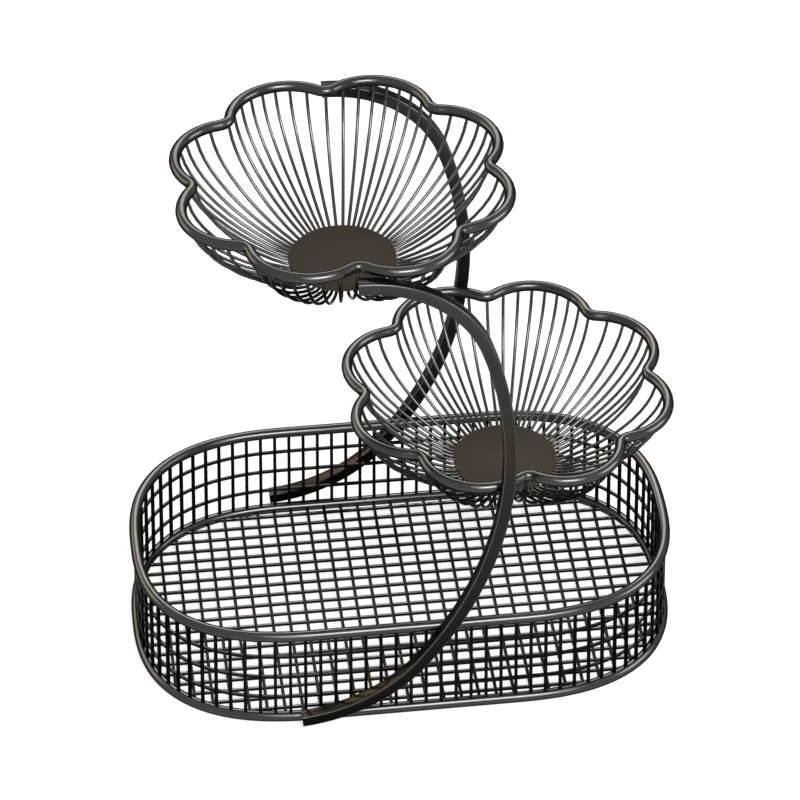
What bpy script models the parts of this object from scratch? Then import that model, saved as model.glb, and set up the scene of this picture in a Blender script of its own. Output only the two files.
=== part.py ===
"""Three-tier wire fruit basket.

An oval mesh basket stands on its bottom ring. Two square bars, bent in three arcs, rise from its long
sides, lean towards each other and carry two round wire bowls with eight-petalled rims.
Lengths are in metres, X runs along the basket, Y across it, Z up, and the ground is Z = 0.
"""
import math

import bmesh
import bpy
from mathutils import Matrix, Vector

# Common clearance and finish of the model
SEAT_GAP = 0.0003
WELD_DISTANCE = 0.000001

# Basket
BASKET_LENGTH = 0.3922
BASKET_STRAIGHT = 0.1394
BASKET_END_POWER = 2.56
BASKET_HEIGHT = 0.0842
BASKET_WIRE = 0.0080
RING_END_STEPS = 14
MESH_WIRE = 0.0022
MESH_WIRE_SIDES = 4
CROSS_WIRE_COUNT = 28
CROSS_WIRE_END_GAP = 0.022625
LONG_WIRE_COUNT = 20
LONG_WIRE_END_GAP = 0.00985
UPRIGHT_COUNT = 98
END_UPRIGHT_SHARE = 0.50
HOOP_HEIGHT_SHARES = (("wall_hoop_low", 0.25), ("wall_hoop_middle", 0.50), ("wall_hoop_high", 0.75))

# Bowls
RIM_WIRE = 0.0080
PETAL_COUNT = 8
PETAL_CREST_RADIUS = 0.1177
PETAL_RADIUS = 0.0410
NOTCH_FILLET = 0.0090
PETAL_STEPS = 6
NOTCH_STEPS = 1
RIB_WIRE = 0.0024
RIBS_PER_PETAL = 8
RIB_INBOARD = 0.0022
BOWL_DEPTH = 0.0696
DISC_DIAMETER = 0.0754
DISC_SHEET = 0.0008
DISC_SIDES = 48
RIB_HOLD = 0.0046
RIB_SINK = 0.0003
RIB_CURVE_POWER = 1.66
RIB_DROP_SPAN_SHARE = 1.131
RIB_STATION_SHARES = (0.24, 0.47, 0.70)

# Places of the bowls
UPPER_BOWL_X = -0.0398
UPPER_BOWL_RIM_Z = 0.3984
LOWER_BOWL_X = 0.0776
LOWER_BOWL_RIM_Z = 0.2044

# Bars
BAR_WIDTH = 0.0090
BAR_CHAMFER = 0.0008
BAR_LEAN = math.radians(1.30)
BAR_FOOT_HEIGHT = 0.0050
BAR_START_OVERHANG = 0.0015
BAR_START_HEADING = math.radians(1.86)
BAR_TURNS = (math.radians(72.4), math.radians(57.6), math.radians(47.2))
BAR_RADIUS_SHARES = (0.2303, 0.7486, 0.3152)
BAR_STEP = math.radians(6.0)

# Paint: near-black satin powder coat over steel wire, a warmer tone on the sheet discs
BLACK_PAINT = (0.012, 0.011, 0.010, 1.0)
WARM_PAINT = (0.020, 0.017, 0.014, 1.0)


def clear_scene():
    """Remove every object so that the model starts from nothing."""
    for old in list(bpy.data.objects):
        bpy.data.objects.remove(old, do_unlink=True)


def make_material(name, colour, roughness, metallic):
    """Return a Principled material."""
    material = bpy.data.materials.new(name)
    material.use_nodes = True
    shader = material.node_tree.nodes["Principled BSDF"]
    shader.inputs["Base Color"].default_value = colour
    shader.inputs["Roughness"].default_value = roughness
    shader.inputs["Metallic"].default_value = metallic
    return material


def make_collection(name):
    """Return a new collection under the scene's own."""
    collection = bpy.data.collections.new(name)
    bpy.context.scene.collection.children.link(collection)
    return collection


def make_empty(name, collection, location):
    """Return an empty that carries a group of pieces."""
    empty = bpy.data.objects.new(name, None)
    empty.location = location
    collection.objects.link(empty)
    return empty


def flats_radius(diameter, sides):
    """Corner radius of a regular section whose opposite flats are one diameter apart."""
    return diameter / 2 / math.cos(math.pi / sides)


def even_area_radius(diameter, sides):
    """Corner radius of a regular section with the area of the round wire."""
    turn = 2 * math.pi / sides
    return diameter / 2 * math.sqrt(turn / math.sin(turn))


def tube_curve(name, paths, depth, resolution, cyclic, tilt, twist="Z_UP"):
    """Return a curve object of straight-stepped wires along the given point lists."""
    data = bpy.data.curves.new(name, "CURVE")
    data.dimensions = "3D"
    data.twist_mode = twist
    data.bevel_depth = depth
    data.bevel_resolution = resolution
    data.use_fill_caps = not cyclic
    for path in paths:
        spline = data.splines.new("POLY")
        spline.points.add(len(path) - 1)
        for point, place in zip(spline.points, path):
            point.co = (place[0], place[1], place[2], 1.0)
            point.tilt = tilt
        spline.use_cyclic_u = cyclic
    curve = bpy.data.objects.new(name, data)
    bpy.context.scene.collection.objects.link(curve)
    return curve


def mesh_from_curve(curve, name):
    """Turn a curve object into a welded mesh data-block and remove the curve."""
    bpy.context.view_layer.update()
    evaluated = curve.evaluated_get(bpy.context.evaluated_depsgraph_get())
    mesh = bpy.data.meshes.new_from_object(evaluated)
    mesh.name = name
    mesh.transform(curve.matrix_world)
    bm = bmesh.new()
    bm.from_mesh(mesh)
    bmesh.ops.remove_doubles(bm, verts=bm.verts, dist=WELD_DISTANCE)
    bmesh.ops.recalc_face_normals(bm, faces=bm.faces)
    bm.to_mesh(mesh)
    bm.free()
    bpy.data.objects.remove(curve, do_unlink=True)
    return mesh


def shade_round(mesh, angle):
    """Shade a mesh smooth but keep the edges sharper than the angle."""
    mesh.shade_smooth()
    mesh.set_sharp_from_angle(angle=angle)


def add_piece(name, mesh, material, collection, parent=None):
    """Place a mesh as a named piece."""
    mesh.materials.clear()
    mesh.materials.append(material)
    piece = bpy.data.objects.new(name, mesh)
    collection.objects.link(piece)
    if parent is not None:
        piece.parent = parent
    return piece


def fuse(piece, name, mesh, cutters):
    """Join the wires in a mesh to a piece with a Boolean union."""
    tool = bpy.data.objects.new(name, mesh)
    cutters.objects.link(tool)
    tool.parent = piece.parent
    tool.hide_render = True
    tool.display_type = "WIRE"
    union = piece.modifiers.new("Union " + name, "BOOLEAN")
    union.operation = "UNION"
    union.solver = "EXACT"
    union.object = tool
    return tool


def arc_points(centre, radius, start, turn, steps):
    """Points of a plan arc without its last one."""
    points = []
    for step in range(steps):
        angle = start + turn * step / steps
        points.append((centre[0] + radius * math.cos(angle), centre[1] + radius * math.sin(angle)))
    return points


# Basket plan

def oval_plan(half_length, half_width):
    """Anticlockwise plan of a ring's mid line: straight long sides and rounded ends."""
    half_straight = BASKET_STRAIGHT / 2
    reach = half_length - half_straight
    points = []
    for side in (1, -1):
        for step in range(RING_END_STEPS + 1):
            angle = math.pi * (step / RING_END_STEPS - 1 / 2)
            along = max(math.cos(angle), 0.0) ** (2 / BASKET_END_POWER)
            across = abs(math.sin(angle)) ** (2 / BASKET_END_POWER) * math.copysign(1, math.sin(angle))
            points.append((side * (half_straight + reach * along), side * half_width * across))
    return points


def edge_normals(plan):
    """Outward unit normals of a closed anticlockwise plan's edges."""
    normals = []
    for index, start in enumerate(plan):
        end = plan[(index + 1) % len(plan)]
        length = math.hypot(end[0] - start[0], end[1] - start[1])
        normals.append(((end[1] - start[1]) / length, (start[0] - end[0]) / length))
    return normals


def inset_plan(plan, distance):
    """Closed plan moved inwards by a distance, corners mitred."""
    normals = edge_normals(plan)
    moved = []
    for index, point in enumerate(plan):
        before = normals[index - 1]
        after = normals[index]
        scale = distance / (1 + before[0] * after[0] + before[1] * after[1])
        moved.append((point[0] - (before[0] + after[0]) * scale, point[1] - (before[1] + after[1]) * scale))
    return moved


def half_chord(plan, distance, level):
    """Half length along X that stays the distance inside a plan at the given Y."""
    reach = math.inf
    for point, normal in zip(plan, edge_normals(plan)):
        if normal[0] > WELD_DISTANCE:
            offset = normal[0] * point[0] + normal[1] * point[1] - distance - normal[1] * level
            reach = min(reach, offset / normal[0])
    return reach


def half_width_at(plan, place):
    """Half length along Y of a plan's mid line at the given X."""
    reach = math.inf
    for point, normal in zip(plan, edge_normals(plan)):
        if normal[1] > WELD_DISTANCE:
            offset = normal[0] * point[0] + normal[1] * point[1] - normal[0] * place
            reach = min(reach, offset / normal[1])
    return reach


def plan_stations(plan, count):
    """Evenly spaced places along a plan, half a pitch from the middle of the front side."""
    lengths = []
    for index, start in enumerate(plan):
        end = plan[(index + 1) % len(plan)]
        lengths.append(math.hypot(end[0] - start[0], end[1] - start[1]))
    total = sum(lengths)
    offset = lengths[-1] / 2
    stations = []
    for number in range(count):
        travel = (number + 1 / 2) * total / count - offset
        index = 0
        if travel < 0:
            index = len(plan) - 1
            travel += lengths[index]
        else:
            while travel > lengths[index]:
                travel -= lengths[index]
                index += 1
        stations.append((index, travel / lengths[index]))
    return stations


def plan_place(plan, station):
    """Point of a plan at a station, with the edge's direction angle."""
    index, share = station
    start = plan[index]
    end = plan[(index + 1) % len(plan)]
    place = (start[0] + (end[0] - start[0]) * share, start[1] + (end[1] - start[1]) * share)
    return place, math.atan2(end[1] - start[1], end[0] - start[0])


# Petal rim plan

def notch_centre_radius():
    """Distance from the bowl's axis to the centre of a notch fillet."""
    pitch = 2 * math.pi / PETAL_COUNT
    centre = PETAL_CREST_RADIUS - PETAL_RADIUS
    reach = PETAL_RADIUS + NOTCH_FILLET
    return centre * math.cos(pitch / 2) + math.sqrt(reach ** 2 - (centre * math.sin(pitch / 2)) ** 2)


def rim_plan():
    """Anticlockwise plan of a bowl rim: petals joined by notch fillets, starting at a notch."""
    pitch = 2 * math.pi / PETAL_COUNT
    centre = PETAL_CREST_RADIUS - PETAL_RADIUS
    notch_centre = notch_centre_radius()
    rise = notch_centre * math.sin(pitch / 2)
    run = notch_centre * math.cos(pitch / 2) - centre
    spread = math.atan2(rise, run)
    slope = spread - pitch / 2
    points = []
    for number in range(PETAL_COUNT):
        middle = (number + 1 / 2) * pitch
        notch = number * pitch
        hub = (notch_centre * math.cos(notch), notch_centre * math.sin(notch))
        points += arc_points(hub, NOTCH_FILLET, notch + math.pi, -slope, NOTCH_STEPS)
        lobe = (centre * math.cos(middle), centre * math.sin(middle))
        points += arc_points(lobe, PETAL_RADIUS, middle - spread, 2 * spread, PETAL_STEPS)
        hub = (notch_centre * math.cos(notch + pitch), notch_centre * math.sin(notch + pitch))
        points += arc_points(hub, NOTCH_FILLET, notch + pitch + math.pi + slope, -slope, NOTCH_STEPS)
    return points


def rim_radius_at(plan, angle):
    """Distance from the bowl's axis to the rim's mid line in the given direction."""
    direction = (math.cos(angle), math.sin(angle))
    reach = 0.0
    for index, start in enumerate(plan):
        end = plan[(index + 1) % len(plan)]
        edge = (end[0] - start[0], end[1] - start[1])
        cross = direction[0] * edge[1] - direction[1] * edge[0]
        if abs(cross) < WELD_DISTANCE ** 2:
            continue
        travel = (start[0] * edge[1] - start[1] * edge[0]) / cross
        share = (start[0] * direction[1] - start[1] * direction[0]) / cross
        if travel > 0 and -WELD_DISTANCE <= share <= 1 + WELD_DISTANCE:
            reach = max(reach, travel)
    return reach


def rib_angles():
    """Directions of one petal's ribs, from its notch on, at even steps across the petal."""
    pitch = 2 * math.pi / PETAL_COUNT
    centre = PETAL_CREST_RADIUS - PETAL_RADIUS
    half = (notch_centre_radius() - NOTCH_FILLET) * math.sin(pitch / 2)
    angles = []
    for number in range(RIBS_PER_PETAL):
        share = 2 * number / RIBS_PER_PETAL - 1
        if number == 0:
            angles.append(0.0)
            continue
        across = share * half
        along = centre + math.sqrt(max(PETAL_RADIUS ** 2 - across ** 2, 0.0))
        angles.append(pitch / 2 + math.atan2(across, along))
    return angles


# Bar line

def unit_bar_line():
    """Mid line of a bar with radii as shares of its rise, from the top end to the foot."""
    x, z, heading = 0.0, 0.0, BAR_START_HEADING
    line = [(x, z, heading)]
    for share, turn in zip(BAR_RADIUS_SHARES, BAR_TURNS):
        steps = round(turn / BAR_STEP)
        for _ in range(steps):
            step = turn / steps
            chord = 2 * share * math.sin(step / 2)
            x += chord * math.cos(heading - step / 2)
            z += chord * math.sin(heading - step / 2)
            heading -= step
            line.append((x, z, heading))
    return line


def bar_line(top):
    """Mid line of a bar from its top end, at the given height, down to its foot beside the ring."""
    unit = unit_bar_line()
    foot_tilt = BAR_WIDTH / 2 * abs(math.cos(unit[-1][2]))
    rise = (top - BAR_FOOT_HEIGHT - foot_tilt) / -unit[-1][1]
    start = UPPER_BOWL_X - BAR_START_OVERHANG
    return [(start + x * rise, top + z * rise, heading) for x, z, heading in unit]


def bar_edge(line, offset):
    """Bar edge beside its mid line, positive on the outer side of the bend."""
    return [(x - math.sin(heading) * offset, z + math.cos(heading) * offset) for x, z, heading in line]


def edge_places(edge, low, high):
    """Places along X where a bar edge runs between two heights."""
    places = []
    for (start_x, start_z), (end_x, end_z) in zip(edge, edge[1:]):
        rise = end_z - start_z
        if abs(rise) < WELD_DISTANCE:
            continue
        shares = [min(max((level - start_z) / rise, 0.0), 1.0) for level in (low, high)]
        if shares[0] != shares[1]:
            places += [start_x + (end_x - start_x) * share for share in shares]
    return places


def rim_outside(plan, offset):
    """Rim mid line moved outwards, or inwards where the offset is negative."""
    return inset_plan(plan, -offset)


def bar_inner_face(height, rim):
    """Distance of the bars' inner faces from the middle plane at a height above the ground."""
    line = bar_line(UPPER_BOWL_RIM_Z - RIM_WIRE / 2 - BAR_WIDTH / 2)
    low = LOWER_BOWL_RIM_Z - RIM_WIRE / 2
    high = LOWER_BOWL_RIM_Z + RIM_WIRE / 2
    near = min(edge_places(bar_edge(line, -BAR_WIDTH / 2), low, high))
    far = max(edge_places(bar_edge(line, BAR_WIDTH / 2), low, high))
    widest = 0.0
    outside = rim_outside(rim, RIM_WIRE / 2)
    for index, start in enumerate(outside):
        end = outside[(index + 1) % len(outside)]
        for step in range(PETAL_STEPS + 1):
            share = step / PETAL_STEPS
            x = LOWER_BOWL_X + start[0] + (end[0] - start[0]) * share
            y = start[1] + (end[1] - start[1]) * share
            if near <= x <= far:
                widest = max(widest, y)
    facet = RIM_WIRE / 2 * math.tan(math.pi / 8)
    seat = LOWER_BOWL_RIM_Z + facet
    return widest + SEAT_GAP + (seat - height) * math.tan(BAR_LEAN)


def bar_top_height(rim):
    """Height of the bars' upper end on the mid line, so that the upper rim rests on their top faces."""
    trial = UPPER_BOWL_RIM_Z - RIM_WIRE / 2 - BAR_WIDTH / 2
    edge = bar_edge(bar_line(trial), BAR_WIDTH / 2)
    radius = RIM_WIRE / 2
    facet = radius * math.tan(math.pi / 8)
    inner = bar_inner_face(UPPER_BOWL_RIM_Z - radius, rim)
    room = math.inf
    for lateral_step in range(-PETAL_COUNT, PETAL_COUNT + 1):
        lateral = radius * lateral_step / PETAL_COUNT
        under = UPPER_BOWL_RIM_Z - min(radius, radius + facet - abs(lateral))
        moved = rim_outside(rim, lateral)
        for index, start in enumerate(moved):
            end = moved[(index + 1) % len(moved)]
            for step in range(PETAL_STEPS):
                share = step / PETAL_STEPS
                x = UPPER_BOWL_X + start[0] + (end[0] - start[0]) * share
                y = start[1] + (end[1] - start[1]) * share
                if y < inner or x < edge[0][0]:
                    continue
                for (left, left_z), (right, right_z) in zip(edge, edge[1:]):
                    if left <= x <= right:
                        level = left_z + (right_z - left_z) * (x - left) / (right - left)
                        room = min(room, under - level)
    return trial + room - SEAT_GAP if room < math.inf else trial


# Pieces

def build_ring(name, plan, height, material, collection, parent):
    """Heavy round wire along a plan, flat facets below, above, inside and outside."""
    path = [(x, y, height) for x, y in plan]
    curve = tube_curve(name, [path], flats_radius(BASKET_WIRE, 8), 2, True, math.pi / 8)
    mesh = mesh_from_curve(curve, name)
    shade_round(mesh, math.radians(50))
    return add_piece(name, mesh, material, collection, parent)


def straight_wires(name, ends, diameter, sides):
    """Mesh of straight wires between pairs of points, each with a flat turned to its third vector."""
    bm = bmesh.new()
    radius = flats_radius(diameter, sides)
    for start, end, facing in ends:
        start, end = Vector(start), Vector(end)
        axis = (end - start).normalized()
        side = axis.cross(Vector(facing)).normalized()
        frame = Matrix((side.cross(axis), side, axis)).transposed().to_4x4()
        turn = Matrix.Rotation(-math.pi / 2 - math.pi / sides, 4, "Z")
        place = Matrix.Translation((start + end) / 2) @ frame @ turn
        bmesh.ops.create_cone(bm, cap_ends=True, cap_tris=False, segments=sides, radius1=radius,
                              radius2=radius, depth=(end - start).length, matrix=place)
    mesh = bpy.data.meshes.new(name)
    bm.to_mesh(mesh)
    bm.free()
    shade_round(mesh, math.radians(65))
    return mesh


def build_basket(collection, cutters, paint, rim):
    """Two rings, floor mesh, uprights and hoops."""
    base = make_empty("basket", collection, (0.0, 0.0, 0.0))
    radius = BASKET_WIRE / 2
    facet = radius * math.tan(math.pi / 8)
    bottom_z = radius
    top_z = BASKET_HEIGHT - radius
    top_half = bar_inner_face(top_z + facet, rim) - SEAT_GAP - radius
    bottom_half = bar_inner_face(bottom_z + facet, rim) - SEAT_GAP - radius
    flare = bottom_half - top_half
    bottom_plan = oval_plan(BASKET_LENGTH / 2, bottom_half)
    top_plan = oval_plan(BASKET_LENGTH / 2 - flare, top_half)

    bottom = build_ring("basket_bottom_ring", bottom_plan, bottom_z, paint, collection, base)
    layer = (MESH_WIRE + SEAT_GAP) / 2
    up = (0.0, 0.0, 1.0)
    cross = []
    pitch = (BASKET_LENGTH - 2 * CROSS_WIRE_END_GAP) / (CROSS_WIRE_COUNT - 1)
    for number in range(CROSS_WIRE_COUNT):
        x = (number - (CROSS_WIRE_COUNT - 1) / 2) * pitch
        reach = half_width_at(bottom_plan, x)
        cross.append(((x, -reach, bottom_z - layer), (x, reach, bottom_z - layer), up))
    fuse(bottom, "floor_cross_wires", straight_wires("floor_cross_wires", cross, MESH_WIRE, MESH_WIRE_SIDES), cutters)

    pitch = 2 * (bottom_half - LONG_WIRE_END_GAP) / (LONG_WIRE_COUNT - 1)
    for number in range(LONG_WIRE_COUNT):
        y = (number - (LONG_WIRE_COUNT - 1) / 2) * pitch
        clear = radius + SEAT_GAP
        reach = min(half_chord(bottom_plan, clear, y + side * MESH_WIRE / 2) for side in (-1, 1))
        name = "floor_long_wire_%02d" % (number + 1)
        ends = [((-reach, y, bottom_z + layer), (reach, y, bottom_z + layer), up)]
        add_piece(name, straight_wires(name, ends, MESH_WIRE, MESH_WIRE_SIDES), paint, collection, base)

    top = build_ring("basket_top_ring", top_plan, top_z, paint, collection, base)
    side_uprights = []
    end_uprights = []
    free = (radius + SEAT_GAP) / (top_z - bottom_z)
    for station in plan_stations(top_plan, UPRIGHT_COUNT):
        high, angle = plan_place(top_plan, station)
        low, _ = plan_place(bottom_plan, station)
        facing = (math.sin(angle), -math.cos(angle), 0.0)
        foot = Vector((low[0], low[1], bottom_z))
        head = Vector((high[0], high[1], top_z))
        if abs(high[0]) < BASKET_LENGTH / 2 * END_UPRIGHT_SHARE:
            side_uprights.append((foot, foot.lerp(head, 1 - free), facing))
        else:
            end_uprights.append((foot.lerp(head, free), head, facing))
    sides = straight_wires("wall_side_uprights", side_uprights, MESH_WIRE, MESH_WIRE_SIDES)
    fuse(bottom, "wall_side_uprights", sides, cutters)
    ends = straight_wires("wall_end_uprights", end_uprights, MESH_WIRE, MESH_WIRE_SIDES)
    fuse(top, "wall_end_uprights", ends, cutters)

    for name, share in HOOP_HEIGHT_SHARES:
        level_half = bottom_half + (top_half - bottom_half) * share
        level_plan = oval_plan(BASKET_LENGTH / 2 - flare * share, level_half)
        height = bottom_z + (top_z - bottom_z) * share
        lean_room = MESH_WIRE / 2 * math.tan(BAR_LEAN)
        plan = inset_plan(level_plan, MESH_WIRE + SEAT_GAP + lean_room)
        path = [(x, y, height) for x, y in plan]
        curve = tube_curve(name, [path], flats_radius(MESH_WIRE, 4), 0, True, math.pi / 4)
        mesh = mesh_from_curve(curve, name)
        shade_round(mesh, math.radians(50))
        add_piece(name, mesh, paint, collection, base)


def rib_profile(rim_reach, seat_z):
    """Rib mid line in its own plane: straight down from the rim, curving in, then flat under the disc."""
    disc_radius = DISC_DIAMETER / 2
    drop = -seat_z * RIB_DROP_SPAN_SHARE
    power = 2 / RIB_CURVE_POWER
    outer = disc_radius + RIB_WIRE
    end_angle = math.asin(min((-seat_z / drop) ** (1 / power), 1.0))
    end_share = math.cos(end_angle) ** power
    points = []
    for share in RIB_STATION_SHARES:
        angle = end_angle * share
        shape = (math.cos(angle) ** power - end_share) / (1 - end_share)
        points.append((outer + (rim_reach - outer) * shape, -drop * math.sin(angle) ** power))
    under = -RIM_WIRE / 2 - SEAT_GAP
    tilt = math.atan2(rim_reach - points[0][0], under - points[0][1])
    half = even_area_radius(RIB_WIRE, 4) * math.cos(math.pi / 4)
    points.insert(0, (rim_reach, under - half * math.sin(tilt)))
    points.append((outer, seat_z))
    points.append((disc_radius - RIB_HOLD, seat_z))
    return points


def build_ribs(name, rim, material, collection, cutters, parent):
    """Disc with its ribs fused under it."""
    disc_radius = DISC_DIAMETER / 2
    bm = bmesh.new()
    place = Matrix.Translation((0.0, 0.0, -BOWL_DEPTH - DISC_SHEET / 2))
    bmesh.ops.create_cone(bm, cap_ends=True, cap_tris=False, segments=DISC_SIDES, radius1=disc_radius,
                          radius2=disc_radius, depth=DISC_SHEET, matrix=place)
    disc_mesh = bpy.data.meshes.new(name)
    bm.to_mesh(disc_mesh)
    bm.free()
    shade_round(disc_mesh, math.radians(50))
    piece = add_piece(name, disc_mesh, material, collection, parent)

    half = even_area_radius(RIB_WIRE, 4) * math.cos(math.pi / 4)
    seat_z = -BOWL_DEPTH - DISC_SHEET + RIB_SINK - half
    ribs = bmesh.new()
    for direction in rib_angles():
        profile = rib_profile(rim_radius_at(rim, direction) - RIB_INBOARD, seat_z)
        path = [(reach, 0.0, height) for reach, height in profile]
        depth = even_area_radius(RIB_WIRE, 4)
        curve = tube_curve(name + "_rib", [path], depth, 0, False, math.pi / 4, "MINIMUM")
        one = mesh_from_curve(curve, name + "_rib")
        for number in range(PETAL_COUNT):
            turned = one.copy()
            turned.transform(Matrix.Rotation(direction + number * 2 * math.pi / PETAL_COUNT, 4, "Z"))
            ribs.from_mesh(turned)
            bpy.data.meshes.remove(turned)
        bpy.data.meshes.remove(one)
    wires = bpy.data.meshes.new(name + "_wires")
    ribs.to_mesh(wires)
    ribs.free()
    shade_round(wires, math.radians(50))
    fuse(piece, name + "_wires", wires, cutters)
    return piece


def build_bowl(prefix, location, rim, paint, disc_paint, collection, cutters):
    """One bowl: rim wire, ribs and disc about the middle of its rim."""
    base = make_empty(prefix, collection, location)
    path = [(x, y, 0.0) for x, y in rim]
    curve = tube_curve(prefix + "_rim", [path], flats_radius(RIM_WIRE, 8), 2, True, math.pi / 8)
    mesh = mesh_from_curve(curve, prefix + "_rim")
    shade_round(mesh, math.radians(50))
    add_piece(prefix + "_rim", mesh, paint, collection, base)
    build_ribs(prefix + "_ribs", rim, disc_paint, collection, cutters, base)


def build_bars(rim, material, collection):
    """Front and rear bar, each a flat outline with thickness, leaning inwards as it rises."""
    base = make_empty("stand", collection, (0.0, 0.0, 0.0))
    line = bar_line(bar_top_height(rim))
    outline = bar_edge(line, BAR_WIDTH / 2) + list(reversed(bar_edge(line, -BAR_WIDTH / 2)))
    ground = bar_inner_face(0.0, rim) + BAR_WIDTH / 2 / math.cos(BAR_LEAN)
    for name, side in (("front_bar", -1), ("rear_bar", 1)):
        data = bpy.data.curves.new(name, "CURVE")
        data.dimensions = "2D"
        data.fill_mode = "BOTH"
        data.extrude = BAR_WIDTH / 2
        spline = data.splines.new("POLY")
        spline.points.add(len(outline) - 1)
        for point, place in zip(spline.points, outline):
            point.co = (place[0], place[1] / math.cos(BAR_LEAN), 0.0, 1.0)
        spline.use_cyclic_u = True
        curve = bpy.data.objects.new(name, data)
        bpy.context.scene.collection.objects.link(curve)
        mesh = mesh_from_curve(curve, name)
        bar = add_piece(name, mesh, material, collection, base)
        bar.rotation_euler = (math.pi / 2 + side * BAR_LEAN, 0.0, 0.0)
        bar.location = (0.0, side * ground, 0.0)
        bevel = bar.modifiers.new("Chamfer", "BEVEL")
        bevel.width = BAR_CHAMFER
        bevel.segments = 1
        bevel.limit_method = "ANGLE"
        bevel.angle_limit = math.radians(45)
        shade_round(mesh, math.radians(30))


def main():
    clear_scene()
    parts = make_collection("three_tier_wire_fruit_basket")
    cutters = make_collection("three_tier_wire_fruit_basket_tools")
    black = make_material("Black satin paint", BLACK_PAINT, 0.38, 0.0)
    bar_black = make_material("Bar black satin paint", BLACK_PAINT, 0.42, 0.0)
    warm = make_material("Disc black satin paint", WARM_PAINT, 0.45, 0.0)
    rim = rim_plan()
    build_basket(parts, cutters, black, rim)
    build_bars(rim, bar_black, parts)
    upper = (UPPER_BOWL_X, 0.0, UPPER_BOWL_RIM_Z)
    lower = (LOWER_BOWL_X, 0.0, LOWER_BOWL_RIM_Z)
    build_bowl("upper_bowl", upper, rim, black, warm, parts, cutters)
    build_bowl("lower_bowl", lower, rim, black, warm, parts, cutters)


main()
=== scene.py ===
"""Dressed model of a three-tier wire fruit basket in black satin paint.

An oval mesh basket carries two square bars, and the bars carry two round wire bowls with petalled rims.
Lengths are in metres, X runs along the basket, Y across it, and Z is up.
"""

import logging
import math
from dataclasses import dataclass, field
from enum import Enum

import bpy
from mathutils import Matrix, Vector


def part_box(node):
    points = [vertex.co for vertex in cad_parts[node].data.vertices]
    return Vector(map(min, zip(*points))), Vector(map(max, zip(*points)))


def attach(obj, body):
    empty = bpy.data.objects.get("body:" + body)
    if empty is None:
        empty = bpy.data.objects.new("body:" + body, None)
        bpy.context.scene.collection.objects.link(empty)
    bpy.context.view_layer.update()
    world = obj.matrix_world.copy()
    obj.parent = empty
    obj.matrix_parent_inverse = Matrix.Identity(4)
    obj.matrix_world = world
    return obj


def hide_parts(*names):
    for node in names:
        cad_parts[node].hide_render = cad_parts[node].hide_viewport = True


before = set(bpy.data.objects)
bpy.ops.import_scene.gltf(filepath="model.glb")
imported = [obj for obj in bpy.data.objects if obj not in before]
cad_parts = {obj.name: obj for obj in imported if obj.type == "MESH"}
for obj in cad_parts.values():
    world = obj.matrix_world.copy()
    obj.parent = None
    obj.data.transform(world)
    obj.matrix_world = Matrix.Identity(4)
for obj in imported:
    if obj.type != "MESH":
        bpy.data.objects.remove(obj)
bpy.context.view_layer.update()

LOG = logging.getLogger("fruit_basket")

# Distances in metres: points this close are one point, and a longer edge of a unit wire runs along it
MERGE = 0.00001
LONG_EDGE = 0.5

# Angles in radians
ROUND_SMOOTH = math.radians(60)
FLAT_SMOOTH = math.radians(25)
CORNER_ANGLE = math.radians(60)
SQUARE_TILT = math.pi / 4

# Square wire: the rounding of its edges as a share of its side, and the steps of the rounding
ROUNDING_SHARE = 0.14
ROUNDING_STEPS = 2
SQUARE_SIDES = 4

# Least upward part of a normal that counts as looking up, for the upper faces that get a painted highlight
LOOKS_UP = 0.70

Point = tuple[float, float]
Place = tuple[float, float, float]
Colour = tuple[float, float, float]

WHITE = (1.0, 1.0, 1.0, 1.0)
NOISE_MIDDLE = 0.5

# Sockets of a Mix node that mixes two colours
MIX_SHARE = 0
MIX_FIRST = 6
MIX_SECOND = 7
MIX_RESULT = 2


# Shader maths


@dataclass(frozen=True)
class Shade:
    """A number, colour or vector inside a material, which Python sums turn into Math nodes."""

    bench: "PaintBench"
    socket: bpy.types.NodeSocket | None

    def __add__(self, other: "Shade | float") -> "Shade":
        """Sum of two numbers."""
        return self.bench.maths("ADD", self, other)

    def __radd__(self, other: float) -> "Shade":
        """Sum with a plain number on the left."""
        return self.bench.maths("ADD", other, self)

    def __sub__(self, other: "Shade | float") -> "Shade":
        """Difference of two numbers."""
        return self.bench.maths("SUBTRACT", self, other)

    def __mul__(self, other: "Shade | float") -> "Shade":
        """Product of two numbers."""
        return self.bench.maths("MULTIPLY", self, other)

    def clamped(self) -> "Shade":
        """The number kept between 0 and 1."""
        return self.bench.node("ShaderNodeClamp", {}, {"Value": self})


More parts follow.
